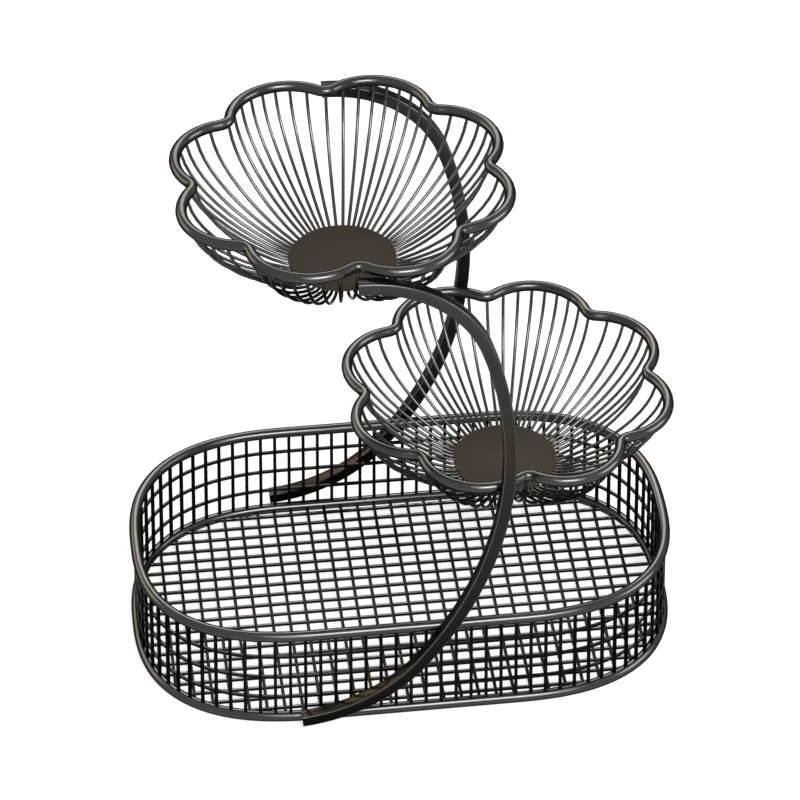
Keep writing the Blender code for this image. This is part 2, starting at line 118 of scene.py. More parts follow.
class PaintBench:
    """Makes the nodes of one material or of the world."""

    def __init__(self, tree: bpy.types.NodeTree) -> None:
        """Empty the tree.

        Args:
            tree: The node tree to fill.
        """
        self.tree = tree
        tree.nodes.clear()

    def node(self, kind: str, settings: dict, inputs: dict, output: int | str = 0) -> Shade:
        """Add a node.

        Args:
            kind: The node's type.
            settings: Properties that are set before the sockets, or the two "stops" of a colour ramp.
            inputs: Socket name or number to a value or a Shade.
            output: The output that is returned.

        Returns:
            The chosen output.
        """
        made = self.tree.nodes.new(kind)
        for name, value in settings.items():
            if name == "stops":
                for stop, (place, grey) in zip(made.color_ramp.elements, value):
                    stop.position = place
                    stop.color = (grey, grey, grey, 1.0)
            else:
                setattr(made, name, value)
        for name, value in inputs.items():
            if isinstance(value, Shade):
                self.tree.links.new(value.socket, made.inputs[name])
            else:
                made.inputs[name].default_value = value
        return Shade(self, made.outputs[output] if len(made.outputs) else None)

    def maths(self, operation: str, first: Shade | float, second: Shade | float) -> Shade:
        """Add a Math node.

        Args:
            operation: The sum that it does.
            first: Left value.
            second: Right value.

        Returns:
            The result.
        """
        return self.node("ShaderNodeMath", {"operation": operation}, {0: first, 1: second})

    def blend(self, share: Shade, low: Colour | Shade, high: Colour | Shade) -> Shade:
        """Mix two colours.

        Args:
            share: 0 gives the first colour and 1 the second.
            low: First colour.
            high: Second colour.

        Returns:
            The mixed colour.
        """
        first, second = (tone if isinstance(tone, Shade) else (*tone, 1.0) for tone in (low, high))
        sockets = {MIX_SHARE: share, MIX_FIRST: first, MIX_SECOND: second}
        return self.node("ShaderNodeMix", {"data_type": "RGBA"}, sockets, MIX_RESULT)

    def place(self, scale: Place = (1.0, 1.0, 1.0), turn: float = 0.0) -> Shade:
        """Object coordinates, stretched and turned about Z for a pattern.

        Args:
            scale: Pattern repeats per metre along each axis.
            turn: Angle about Z.

        Returns:
            The coordinates.
        """
        where = self.node("ShaderNodeTexCoord", {}, {}, "Object")
        sockets = {"Vector": where, "Rotation": (0.0, 0.0, turn), "Scale": scale}
        return self.node("ShaderNodeMapping", {}, sockets)

    def noise(self, where: Shade, scale: float, detail: float, roughness: float = 0.5) -> Shade:
        """Soft noise between 0 and 1.

        Args:
            where: Coordinates.
            scale: Blobs per unit.
            detail: Number of finer layers.
            roughness: Strength of the finer layers.

        Returns:
            The noise.
        """
        sockets = {"Vector": where, "Scale": scale, "Detail": detail, "Roughness": roughness}
        return self.node("ShaderNodeTexNoise", {}, sockets)

    def shown(self) -> Shade:
        """Tell the rays that look at the studio from those that light the stand.

        Returns:
            1 for camera, glossy and transmission rays, and 0 for the rest.
        """
        seen = self.node("ShaderNodeLightPath", {}, {}, "Is Camera Ray")
        mirrored = self.node("ShaderNodeLightPath", {}, {}, "Is Glossy Ray")
        through = self.node("ShaderNodeLightPath", {}, {}, "Is Transmission Ray")
        return (seen + mirrored + through).clamped()


# Finishes


class Grain(Enum):
    """How the metal under the paint shows through."""

    SPRAYED = "sprayed"
    ROLLED = "rolled"


@dataclass(frozen=True)
class PaintTexture:
    """Soft patterns in a paint: repeats per metre, finer layers, and how far each pattern counts."""

    cloud_scale: float = 34.0
    cloud_detail: float = 3.0
    cloud_from: float = 0.32
    cloud_to: float = 0.72
    cloud_share: float = 0.6
    fine_scale: float = 260.0
    fine_detail: float = 2.0
    fine_gloss: float = 0.6
    peel_detail: float = 1.0
    streak_scale: Place = (14.0, 420.0, 14.0)
    streak_turn: float = math.radians(24.0)
    streak_detail: float = 3.0
    streak_roughness: float = 0.6
    streak_share: float = 0.5
    streak_gloss: float = 0.10
    streak_height: float = 0.8


@dataclass(frozen=True)
class SatinPaint:
    """Baked satin paint on steel, with fine orange peel and uneven gloss.

    The colour drifts between a full coat and a thinner one. The foot is painted light at the ground: on
    the bars it is painted shade, darker towards the ground, and on their upper faces a lighter warm painted
    reflection. It turns into the paint's own colour up to its height.
    """

    name: str
    body: Colour
    thin: Colour
    gloss: float
    gloss_spread: float
    metal_share: float
    peel_size: float = 0.0011
    peel_height: float = 0.000012
    edge_level: float = 0.20
    edge_tint: Colour = (0.02, 0.02, 0.02)
    # Painted light at the ground: painted shade on the bars, a lighter warm painted reflection on their upper
    # faces
    foot: Colour | None = None
    painted_light_height: float = 0.36
    grain: Grain = Grain.SPRAYED
    texture: PaintTexture = PaintTexture()

    def material(self) -> bpy.types.Material:
        """Build the material.

        Returns:
            The new material.
        """
        made = bpy.data.materials.new(self.name)
        made.use_nodes = True
        bench = PaintBench(made.node_tree)
        look = self.texture
        plain = bench.place()
        cloud = bench.node("ShaderNodeValToRGB", {"stops": ((look.cloud_from, 0.0), (look.cloud_to, 1.0))},
                           {"Fac": bench.noise(plain, look.cloud_scale, look.cloud_detail)})
        fine = bench.noise(plain, look.fine_scale, look.fine_detail)
        height = bench.noise(plain, 1.0 / self.peel_size, look.peel_detail)
        share = (cloud * look.cloud_share + fine * (1.0 - look.cloud_share)).clamped()
        rough = self.gloss + (cloud - NOISE_MIDDLE) * self.gloss_spread
        rough = rough + (fine - NOISE_MIDDLE) * (self.gloss_spread * look.fine_gloss)
        if self.grain is Grain.ROLLED:
            where = bench.place(look.streak_scale, look.streak_turn)
            streak = bench.noise(where, 1.0, look.streak_detail, look.streak_roughness)
            share = (share * (1.0 - look.streak_share) + streak * look.streak_share).clamped()
            rough = rough + (streak - NOISE_MIDDLE) * look.streak_gloss
            height = height + streak * look.streak_height
        colour = bench.blend(share, self.body, self.thin)
        # Painted light near the ground: the foot colour (painted shade on the bars, a painted reflection on
        # their upper faces) fades into the paint's own colour with height
        if self.foot is not None:
            level = bench.node("ShaderNodeSeparateXYZ", {}, {"Vector": plain}, "Z")
            colour = bench.blend((level * (1.0 / self.painted_light_height)).clamped(), self.foot, colour)
        bump = {"Strength": 1.0, "Distance": self.peel_height, "Height": height}
        satin = bench.node("ShaderNodeBsdfPrincipled", {}, {
            "Base Color": colour,
            "Roughness": rough,
            "Metallic": self.metal_share,
            "Specular IOR Level": self.edge_level,
            "Specular Tint": (*self.edge_tint, 1.0),
            "Normal": bench.node("ShaderNodeBump", {}, bump),
        })
        bench.node("ShaderNodeOutputMaterial", {}, {"Surface": satin})
        return made


@dataclass(frozen=True)
class Finishes:
    """The paints of the stand, among them painted highlights on upper faces and edges and painted shade on
    the bars.
    """

    frame_wire: SatinPaint = SatinPaint(
        "frame wire satin paint", (0.042, 0.0415, 0.041), (0.060, 0.059, 0.058), 0.18, 0.06, 0.92)
    wire_side: SatinPaint = SatinPaint(
        "square wire side paint", (0.0075, 0.0071, 0.0067), (0.0105, 0.0100, 0.0094), 0.22, 0.06, 0.92)
    # Painted highlight: the hoops' upper faces are painted lighter than their sides, standing in for light
    # falling from above
    hoop_top_painted_highlight: SatinPaint = SatinPaint(
        "hoop top painted highlight", (0.0130, 0.0127, 0.0123), (0.0180, 0.0175, 0.0170), 0.24, 0.06, 0.92)
    # Painted highlight: the long wires' upper faces are painted much lighter than their sides, standing in
    # for reflected light from above
    long_top_painted_highlight: SatinPaint = SatinPaint(
        "long wire top painted highlight", (0.050, 0.049, 0.0475), (0.066, 0.0645, 0.0625), 0.26, 0.06, 0.92)
    upright_wire: SatinPaint = SatinPaint(
        "upright wire satin paint", (0.0060, 0.0050, 0.0040), (0.0095, 0.0080, 0.0065), 0.24, 0.06, 0.92)
    rib_wire: SatinPaint = SatinPaint(
        "rib wire satin paint", (0.060, 0.0595, 0.059), (0.082, 0.081, 0.080), 0.15, 0.05, 0.92)
    # The foot colour is painted shade: the bar's paint darkens towards the ground
    bar: SatinPaint = SatinPaint(
        "square bar satin paint", (0.029, 0.0285, 0.028), (0.040, 0.039, 0.038), 0.24, 0.06, 0.82,
        foot=(0.0048, 0.0043, 0.0037))
    # Painted light on the bars' upper faces: painted shade, darker than the bar's sides, and near the ground
    # a lighter warm painted reflection
    bar_top_painted_light: SatinPaint = SatinPaint(
        "square bar top painted shade and reflection", (0.016, 0.0157, 0.0154), (0.022, 0.0215, 0.021), 0.24, 0.06, 0.82,
        foot=(0.026, 0.022, 0.017), painted_light_height=0.16)
    # Painted highlight: the bars' rounded edges are painted lighter, standing in for the bright line of light
    # along them
    bar_edge_painted_highlight: SatinPaint = SatinPaint(
        "square bar edge painted highlight", (0.056, 0.055, 0.054), (0.074, 0.073, 0.072), 0.24, 0.06, 0.88)
    disc: SatinPaint = SatinPaint(
        "disc satin paint", (0.033, 0.0285, 0.0235), (0.046, 0.040, 0.0325), 0.40, 0.08, 0.10,
        edge_level=0.0, grain=Grain.ROLLED)


# Modelling helpers


class Section(Enum):
    """Section of a wire."""

    ROUND = "round"
    SQUARE = "square"


def select_only(*pieces: bpy.types.Object) -> None:
    """Select the given objects alone and make the first one active.

    Args:
        pieces: The objects.
    """
    bpy.ops.object.select_all(action="DESELECT")
    for piece in pieces:
        piece.select_set(True)
    bpy.context.view_layer.objects.active = pieces[0]


def open_mesh(piece: bpy.types.Object) -> None:
    """Go to edit mode on a piece with everything selected.

    Args:
        piece: The piece.
    """
    select_only(piece)
    bpy.ops.object.mode_set(mode="EDIT")
    bpy.ops.mesh.select_all(action="SELECT")


def close_mesh() -> None:
    """Leave edit mode."""
    bpy.ops.object.mode_set(mode="OBJECT")


def rise(piece: bpy.types.Object, edge: bpy.types.MeshEdge) -> float:
    """Height between the two ends of an edge."""
    start, end = (piece.data.vertices[index].co for index in edge.vertices)
    return abs(start.z - end.z)


def pick_edges(piece: bpy.types.Object, chosen: list[int]) -> None:
    """Go to edit mode on a piece with some of its edges selected.

    Args:
        piece: The piece.
        chosen: Indices of the edges.
    """
    open_mesh(piece)
    bpy.ops.mesh.select_mode(type="EDGE")
    bpy.ops.mesh.select_all(action="DESELECT")
    close_mesh()
    for number in chosen:
        piece.data.edges[number].select = True
    bpy.ops.object.mode_set(mode="EDIT")


def named(name: str) -> bpy.types.Object:
    """Name the active object and its mesh.

    Args:
        name: The new name.

    Returns:
        The object.
    """
    piece = bpy.context.view_layer.objects.active
    piece.name = name
    piece.data.name = name
    return piece


def seal(piece: bpy.types.Object, angle: float) -> None:
    """Merge doubles, turn the faces outwards and shade smooth below an angle.

    Args:
        piece: The piece.
        angle: Largest angle that is shaded smooth.
    """
    open_mesh(piece)
    bpy.ops.mesh.remove_doubles(threshold=MERGE)
    bpy.ops.mesh.select_all(action="SELECT")
    bpy.ops.mesh.normals_make_consistent(inside=False)
    close_mesh()
    bpy.ops.object.shade_smooth_by_angle(angle=angle)


def settle(piece: bpy.types.Object) -> None:
    """Put the object's place into its mesh, so that the object sits at the origin."""
    select_only(piece)
    bpy.ops.object.transform_apply(location=True, rotation=True, scale=True)


def soften(piece: bpy.types.Object, width: float) -> None:
    """Round the long edges of a square wire.

    Args:
        piece: The wire.
        width: Width of the rounding.
    """
    rounding = piece.modifiers.new("rounding", "BEVEL")
    rounding.width = width
    rounding.segments = ROUNDING_STEPS
    rounding.limit_method = "ANGLE"
    rounding.angle_limit = CORNER_ANGLE
    select_only(piece)
    bpy.ops.object.modifier_apply(modifier=rounding.name)


def drawn_wire(name: str, line: list[Vector], diameter: float, sides: int, closed: bool,
               section: Section = Section.ROUND) -> bpy.types.Object:
    """Bend a wire along a line.

    Args:
        name: Name of the piece.
        line: Points of the wire's mid line.
        diameter: Diameter of a round wire, or side of a square one.
        sides: Sides of the section, an even number.
        closed: Whether the wire's ends meet.
        section: Section of the wire.

    Returns:
        The wire as a closed mesh.
    """
    bpy.ops.object.select_all(action="DESELECT")
    bpy.ops.mesh.primitive_circle_add(vertices=len(line), radius=diameter, fill_type="NOTHING")
    piece = named(name)
    for corner, place in zip(piece.data.vertices, line):
        corner.co = place - piece.location
    if not closed:
        ends = {0, len(line) - 1}
        pick_edges(piece, [edge.index for edge in piece.data.edges if set(edge.vertices) == ends])
        bpy.ops.mesh.delete(type="EDGE")
        close_mesh()
    select_only(piece)
    bpy.ops.object.convert(target="CURVE")
    curve = bpy.context.view_layer.objects.active
    curve.data.dimensions = "3D"
    curve.data.twist_mode = "Z_UP" if closed else "MINIMUM"
    curve.data.bevel_depth = diameter / 2
    curve.data.bevel_resolution = (sides - SQUARE_SIDES) // 2
    curve.data.use_fill_caps = not closed
    if section is Section.SQUARE:
        curve.data.bevel_depth = diameter / math.sqrt(2)
        for point in curve.data.splines[0].points:
            point.tilt = SQUARE_TILT
    bpy.ops.object.convert(target="MESH")
    piece = named(name)
    seal(piece, ROUND_SMOOTH)
    if section is Section.SQUARE:
        soften(piece, diameter * ROUNDING_SHARE)
        seal(piece, FLAT_SMOOTH)
    return piece


def straight_wire(name: str, side: float) -> bpy.types.Object:
    """Cut a straight square wire of unit length that stands on the origin.

    Args:
        name: Name of the piece.
        side: Side of its section.

    Returns:
        The wire.
    """
    bpy.ops.object.select_all(action="DESELECT")
    bpy.ops.mesh.primitive_cube_add(size=1.0, location=(0.0, 0.0, 0.5), scale=(side, side, 1.0))
    piece = named(name)
    settle(piece)
    pick_edges(piece, [edge.index for edge in piece.data.edges if rise(piece, edge) > LONG_EDGE])
    bpy.ops.mesh.bevel(offset=side * ROUNDING_SHARE, offset_type="OFFSET", segments=ROUNDING_STEPS,
                       affect="EDGES")
    close_mesh()
    seal(piece, FLAT_SMOOTH)
    return piece


def copy_of(piece: bpy.types.Object, name: str, place: Matrix) -> bpy.types.Object:
    """Copy a piece with its own mesh.

    Args:
        piece: The piece to copy.
        name: Name of the copy.
        place: Where the copy's mesh goes.

    Returns:
        The copy.
    """
    select_only(piece)
    bpy.ops.object.duplicate(linked=False)
    made = named(name)
    made.data.transform(place)
    return made


def gather(name: str, pieces: list[bpy.types.Object]) -> bpy.types.Object:
    """Join pieces into one object.

    Args:
        name: Name of the joined object.
        pieces: The pieces.

    Returns:
        The joined object.
    """
    select_only(*pieces)
    bpy.ops.object.join()
    return named(name)


def span(start: Vector, end: Vector, outward: Vector) -> Matrix:
    """Place of a unit wire that runs from one point to another.

    Args:
        start: First end.
        end: Other end.
        outward: Direction that one of the wire's flat sides faces.

    Returns:
        The matrix.
    """
    axis = end - start
    run = axis.normalized()
    side = outward.cross(run).normalized()
    turn = Matrix((side, run.cross(side), run)).transposed().to_4x4()
    return Matrix.Translation(start) @ turn @ Matrix.Diagonal((1.0, 1.0, axis.length, 1.0))


def dress(piece: bpy.types.Object, paint: bpy.types.Material,
          nodes: list[str]) -> bpy.types.Object:
    """Paint a finished piece and hand it to the frame.

    Args:
        piece: The piece.
        paint: Its material.
        nodes: The CAD nodes that it stands for.

    Returns:
        The piece.
    """
    piece.data.materials.clear()
    piece.data.materials.append(paint)
    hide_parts(*nodes)
    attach(piece, "root")
    return piece


def repaint(piece: bpy.types.Object, paint: bpy.types.Material, chosen: list[int]) -> None:
    """Give some faces of a dressed piece a second paint; here it carries painted highlights and painted shade
    on upper faces and edges.

    Args:
        piece: The piece.
        paint: The second material.
        chosen: Indices of its faces.
    """
    piece.data.materials.append(paint)
    slot = len(piece.data.materials) - 1
    for number in chosen:
        piece.data.polygons[number].material_index = slot


def tops(piece: bpy.types.Object) -> list[int]:
    """List the faces that look up.

    Args:
        piece: The piece.

    Returns:
        Their indices.
    """
    return [face.index for face in piece.data.polygons if face.normal.z > LOOKS_UP]


# Basket


@dataclass
class Oval:
    """Plan of a ring: straight long sides, and ends that are half superellipses of the given power."""

    half_length: float
    half_width: float
    straight: float = 0.1394
    power: float = 2.56
    steps: int = 64

    def points(self) -> list[Point]:
        """Walk round the plan.

        Returns:
            Its points, anticlockwise.
        """
        made = []
        reach = self.half_length - self.straight / 2
        for side in (1, -1):
            for step in range(self.steps + 1):
                angle = math.pi * (step / self.steps - 0.5)
                along = max(math.cos(angle), 0.0) ** (2 / self.power)
                across = math.copysign(abs(math.sin(angle)) ** (2 / self.power), math.sin(angle))
                made.append((side * (self.straight / 2 + reach * along), side * self.half_width * across))
        return made

    def stations(self, count: int) -> list[Point]:
        """Evenly spaced points, half a pitch from the middle of the front side.

        Args:
            count: Number of points.

        Returns:
            The points.
        """
        plan = self.points()
        start = (plan[0][0] + plan[-1][0]) / 2, (plan[0][1] + plan[-1][1]) / 2
        route = [start, *plan, start]
        lengths = [math.dist(a, b) for a, b in zip(route, route[1:])]
        total = sum(lengths)
        made = []
        for number in range(count):
            travel = (number + 0.5) * total / count
            index = 0
            while travel > lengths[index]:
                travel -= lengths[index]
                index += 1
            share = travel / lengths[index]
            (x, y), (far_x, far_y) = route[index], route[index + 1]
            made.append((x + (far_x - x) * share, y + (far_y - y) * share))
        return made

    def half_chord(self, level: float, along_x: bool) -> float:
        """Half the width of the plan at a level of the other axis.

        Args:
            level: Distance from the middle.
            along_x: Whether the chord runs along X.

        Returns:
            Half the chord.
        """
        if along_x:
            share = max(1 - (abs(level) / self.half_width) ** self.power, 0.0) ** (1 / self.power)
            return self.straight / 2 + (self.half_length - self.straight / 2) * share
        past = max(abs(level) - self.straight / 2, 0.0) / (self.half_length - self.straight / 2)
        return self.half_width * (1 - past ** self.power) ** (1 / self.power)


@dataclass
class Basket:
    """Oval mesh basket: two rings, a floor of crossed wires, uprights and three hoops."""

    ring_wire: float = 0.0080
    ring_sides: int = 16
    mesh_wire: float = 0.0022
    proud: float = 0.0001
    cross_count: int = 28
    cross_end_gap: float = 0.022625
    long_count: int = 20
    long_end_gap: float = 0.00985
    long_end_inset: float = 0.0020
    upright_count: int = 98
    hoops: dict[str, float] = field(default_factory=lambda: {
        "wall_hoop_low": 0.25, "wall_hoop_middle": 0.50, "wall_hoop_high": 0.75})
    bottom: Oval = field(init=False)
    top: Oval = field(init=False)
    bottom_z: float = field(init=False)
    top_z: float = field(init=False)

    def __post_init__(self) -> None:
        """Read the rings' places from the frame."""
        radius = self.ring_wire / 2
        _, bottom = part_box("basket_bottom_ring")
        _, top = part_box("basket_top_ring")
        self.bottom = Oval(bottom.x - radius, bottom.y - radius)
        self.top = Oval(top.x - radius, top.y - radius)
        self.bottom_z = radius
        self.top_z = top.z - radius

    def level(self, share: float) -> tuple[Oval, float]:
        """Plan and height of the wall between the two rings.

        Args:
            share: 0 at the bottom ring and 1 at the top ring.

        Returns:
            The plan and the height.
        """
        length = self.bottom.half_length + (self.top.half_length - self.bottom.half_length) * share
        width = self.bottom.half_width + (self.top.half_width - self.bottom.half_width) * share
        return Oval(length, width), self.bottom_z + (self.top_z - self.bottom_z) * share

    def rings(self, paint: bpy.types.Material) -> list[bpy.types.Object]:
        """Bend the two heavy rings.

        Args:
            paint: Their material.

        Returns:
            The rings.
        """
        made = []
        places = (("bottom_ring", self.bottom, self.bottom_z), ("top_ring", self.top, self.top_z))
        for name, plan, height in places:
            line = [Vector((x, y, height)) for x, y in plan.points()]
            wire = drawn_wire(name + "_wire", line, self.ring_wire, self.ring_sides, True)
            made.append(dress(wire, paint, ["basket_" + name]))
        return made

    def floor(self, long_paint: bpy.types.Material, top_painted_light: bpy.types.Material,
              cross_paint: bpy.types.Material) -> list[bpy.types.Object]:
        """Weld the long wires and the cross wires into one flat grid.

        Args:
            long_paint: Material of the long wires.
            top_painted_light: Material of their upper faces, a painted highlight.
            cross_paint: Material of the cross wires.

        Returns:
            The cross wires and the long wires.
        """
        up = Vector((0.0, 0.0, 1.0))
        unit = straight_wire("cross_wire_blank", self.mesh_wire + self.proud)
        cross = []
        pitch = 2 * (self.bottom.half_length - self.cross_end_gap) / (self.cross_count - 1)
        for number in range(self.cross_count):
            x = (number - (self.cross_count - 1) / 2) * pitch
            reach = self.bottom.half_chord(x, False)
            ends = Vector((x, -reach, self.bottom_z)), Vector((x, reach, self.bottom_z))
            cross.append(copy_of(unit, "cross_wire", span(*ends, up)))
        bpy.data.objects.remove(unit)
        unit = straight_wire("long_wire_blank", self.mesh_wire)
        long = []
        pitch = 2 * (self.bottom.half_width - self.long_end_gap) / (self.long_count - 1)
        for number in range(self.long_count):
            y = (number - (self.long_count - 1) / 2) * pitch
            reach = self.bottom.half_chord(y, True) - self.long_end_inset
            ends = Vector((-reach, y, self.bottom_z)), Vector((reach, y, self.bottom_z))
            long.append(copy_of(unit, "long_wire", span(*ends, up)))
        bpy.data.objects.remove(unit)
        web = dress(gather("floor_cross_wires", cross), cross_paint, ["basket_bottom_ring"])
        nodes = ["floor_long_wire_%02d" % (number + 1) for number in range(self.long_count)]
        grid = dress(gather("floor_long_wires", long), long_paint, nodes)
        # Painted highlight on the long wires' upper faces
        repaint(grid, top_painted_light, tops(grid))
        return [web, grid]

    def wall(self, hoop_paint: bpy.types.Material, top_painted_light: bpy.types.Material,
             upright_paint: bpy.types.Material) -> list[bpy.types.Object]:
        """Stand the uprights between the rings and bend the hoops through them.

        Args:
            hoop_paint: Material of the hoops.
            top_painted_light: Material of their upper faces, a painted highlight.
            upright_paint: Material of the uprights.

        Returns:
            The uprights and the hoops.
        """
        unit = straight_wire("upright_blank", self.mesh_wire + self.proud)
        uprights = []
        feet = self.bottom.stations(self.upright_count)
        heads = self.top.stations(self.upright_count)
        for number, ((low_x, low_y), (high_x, high_y)) in enumerate(zip(feet, heads)):
            before, after = feet[number - 1], feet[(number + 1) % self.upright_count]
            outward = Vector((after[1] - before[1], before[0] - after[0], 0.0))
            ends = Vector((low_x, low_y, self.bottom_z)), Vector((high_x, high_y, self.top_z))
            uprights.append(copy_of(unit, "upright", span(*ends, outward)))
        bpy.data.objects.remove(unit)
        nodes = ["basket_top_ring", "basket_bottom_ring"]
        made = [dress(gather("wall_uprights", uprights), upright_paint, nodes)]
        for name, share in self.hoops.items():
            plan, height = self.level(share)
            line = [Vector((x, y, height)) for x, y in plan.points()]
            hoop = drawn_wire(name + "_wire", line, self.mesh_wire, SQUARE_SIDES, True, Section.SQUARE)
            made.append(dress(hoop, hoop_paint, [name]))
            # Painted highlight on the hoop's upper faces
            repaint(hoop, top_painted_light, tops(hoop))
        return made

    def build(self, finishes: Finishes) -> list[bpy.types.Object]:
        """Build the whole basket.

        Args:
            finishes: The finishes of the whole part.

        Returns:
            Its pieces.
        """
        side, upright = finishes.wire_side.material(), finishes.upright_wire.material()
        made = self.rings(finishes.frame_wire.material())
        made += self.floor(side, finishes.long_top_painted_highlight.material(), upright)
        made += self.wall(side, finishes.hoop_top_painted_highlight.material(), upright)
        return made


# Bowls


def arc(centre: Point, radius: float, start: float, turn: float, steps: int) -> list[Point]:
    """Walk along an arc.

    Args:
        centre: Centre of the arc.
        radius: Its radius.
        start: Direction of its first point from the centre.
        turn: Angle that it spans.
        steps: Number of its chords.

    Returns:
        Its points without the last one.
    """
    angles = [start + turn * step / steps for step in range(steps)]
    return [(centre[0] + radius * math.cos(angle), centre[1] + radius * math.sin(angle)) for angle in angles]


@dataclass
class Bowl:
    """Round wire bowl: petalled rim, ribs and a small sheet disc."""

    name: str
    wire: float = 0.0080
    wire_sides: int = 16
    petals: int = 8
    crest: float = 0.1177
    petal_radius: float = 0.0410
    notch_radius: float = 0.0090
    petal_steps: int = 16
    notch_steps: int = 4
    rib_wire: float = 0.0024
    rib_sides: int = 8
    ribs_per_petal: int = 8
    rib_inboard: float = 0.0022
    rib_steps: int = 11
    rib_power: float = 1.66
    rib_drop_span: float = 1.131
    rib_hold: float = 0.0046
    rib_sink: float = 0.0003
    rib_top_share: float = 0.30
    rib_clear_share: float = 0.80
    rib_knee_share: float = 0.10
    depth: float = 0.0696
    disc: float = 0.0754
    disc_sides: int = 96
    sheet: float = 0.0008
    disc_edge: float = 0.00025
    disc_edge_steps: int = 3
    disc_smooth: float = math.radians(70)
    middle: Vector = field(init=False)
    pitch: float = field(init=False)
    hub: float = field(init=False)
    notch_hub: float = field(init=False)

    def __post_init__(self) -> None:
        """Read the rim's place from the frame and work out the petals."""
        low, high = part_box(self.name + "_rim")
        self.middle = Vector(((low.x + high.x) / 2, (low.y + high.y) / 2, (low.z + high.z) / 2))
        self.pitch = 2 * math.pi / self.petals
        self.hub = self.crest - self.petal_radius
        reach = self.petal_radius + self.notch_radius
        side = self.hub * math.sin(self.pitch / 2)
        self.notch_hub = self.hub * math.cos(self.pitch / 2) + math.sqrt(reach ** 2 - side ** 2)

    def rim_plan(self) -> list[Point]:
        """Walk along the rim's mid line about the bowl's middle.

        Returns:
            Its points, anticlockwise.
        """
        across = self.notch_hub * math.sin(self.pitch / 2)
        along = self.notch_hub * math.cos(self.pitch / 2) - self.hub
        spread = math.atan2(across, along)
        slope = spread - self.pitch / 2
        made: list[Point] = []
        for number in range(self.petals):
            notch, after = number * self.pitch, (number + 1) * self.pitch
            middle = (number + 0.5) * self.pitch
            centre = self.notch_hub * math.cos(notch), self.notch_hub * math.sin(notch)
            made += arc(centre, self.notch_radius, notch + math.pi, -slope, self.notch_steps)
            centre = self.hub * math.cos(middle), self.hub * math.sin(middle)
            made += arc(centre, self.petal_radius, middle - spread, 2 * spread, self.petal_steps)
            centre = self.notch_hub * math.cos(after), self.notch_hub * math.sin(after)
            made += arc(centre, self.notch_radius, after + math.pi + slope, -slope, self.notch_steps)
        return made

    def rib_places(self) -> list[Point]:
        """Find the upper ends of one petal's ribs.

        Returns:
            Direction and distance of each rib from the axis, from the petal's first notch on.
        """
        notch_reach = self.notch_hub - self.notch_radius
        made = [(0.0, notch_reach)]
        half = notch_reach * math.sin(self.pitch / 2)
        for number in range(1, self.ribs_per_petal):
            across = (2 * number / self.ribs_per_petal - 1) * half
            along = self.hub + math.sqrt(self.petal_radius ** 2 - across ** 2)
            made.append((self.pitch / 2 + math.atan2(across, along), math.hypot(across, along)))
        return made

    def rib_line(self, reach: float) -> list[Point]:
        """Mid line of a rib in its own plane, as distance from the axis and height from the rim.

        Args:
            reach: Distance from the axis to the rib's upper end.

        Returns:
            The points from the rim to the disc.
        """
        seat = -self.depth - self.sheet - self.rib_wire / 2 + self.rib_sink
        power = 2 / self.rib_power
        outer = self.disc / 2 + self.rib_wire
        drop = -seat * self.rib_drop_span
        last = math.asin((-seat / drop) ** (1 / power))
        last_share = math.cos(last) ** power
        made = [(reach, -self.wire * self.rib_top_share)]
        for step in range(1, self.rib_steps):
            angle = last * step / self.rib_steps
            shape = (math.cos(angle) ** power - last_share) / (1 - last_share)
            made.append((outer + (reach - outer) * shape, -drop * math.sin(angle) ** power))
        made = [made[0]] + [point for point in made[1:] if point[1] < -self.wire * self.rib_clear_share]
        made.append((outer, seat + self.rib_wire * self.rib_knee_share))
        made.append((outer - self.rib_wire, seat))
        made.append((self.disc / 2 - self.rib_hold, seat))
        return made

    def rim(self, paint: bpy.types.Material) -> bpy.types.Object:
        """Bend the rim.

        Args:
            paint: Its material.

        Returns:
            The rim.
        """
        line = [self.middle + Vector((x, y, 0.0)) for x, y in self.rim_plan()]
        wire = drawn_wire(self.name + "_rim_wire", line, self.wire, self.wire_sides, True)
        return dress(wire, paint, [self.name + "_rim"])

    def ribs(self, paint: bpy.types.Material) -> bpy.types.Object:
        """Bend one petal's ribs and copy them round the bowl.

        Args:
            paint: Their material.

        Returns:
            The ribs.
        """
        copies = []
        for direction, reach in self.rib_places():
            line = [Vector((x, 0.0, z)) for x, z in self.rib_line(reach - self.rib_inboard)]
            rib = drawn_wire("rib", line, self.rib_wire, self.rib_sides, False)
            for number in range(self.petals):
                turn = Matrix.Rotation(direction + number * self.pitch, 4, "Z")
                copies.append(copy_of(rib, "rib_copy", Matrix.Translation(self.middle) @ turn))
            bpy.data.objects.remove(rib)
        return dress(gather(self.name + "_rib_wires", copies), paint, [self.name + "_ribs"])

    def floor_disc(self, paint: bpy.types.Material) -> bpy.types.Object:
        """Stamp the sheet disc and break its edge.

        Args:
            paint: Its material.

        Returns:
            The disc.
        """
        bpy.ops.object.select_all(action="DESELECT")
        where = self.middle - Vector((0.0, 0.0, self.depth + self.sheet / 2))
        bpy.ops.mesh.primitive_cylinder_add(vertices=self.disc_sides, radius=self.disc / 2, depth=self.sheet,
                                            location=where)
        piece = named(self.name + "_disc")
        settle(piece)
        pick_edges(piece, [edge.index for edge in piece.data.edges if rise(piece, edge) < MERGE])
        bpy.ops.mesh.bevel(offset=self.disc_edge, offset_type="OFFSET", segments=self.disc_edge_steps,
                           affect="EDGES")
        close_mesh()
        seal(piece, self.disc_smooth)
        return dress(piece, paint, [self.name + "_ribs"])

    def build(self, rim_paint: bpy.types.Material, rib_paint: bpy.types.Material,
              disc_paint: bpy.types.Material) -> list[bpy.types.Object]:
        """Build the whole bowl.

        Args:
            rim_paint: Material of the rim.
            rib_paint: Material of the ribs.
            disc_paint: Material of the disc.

        Returns:
            Its pieces.
        """
        return [self.rim(rim_paint), self.ribs(rib_paint), self.floor_disc(disc_paint)]


# Bars


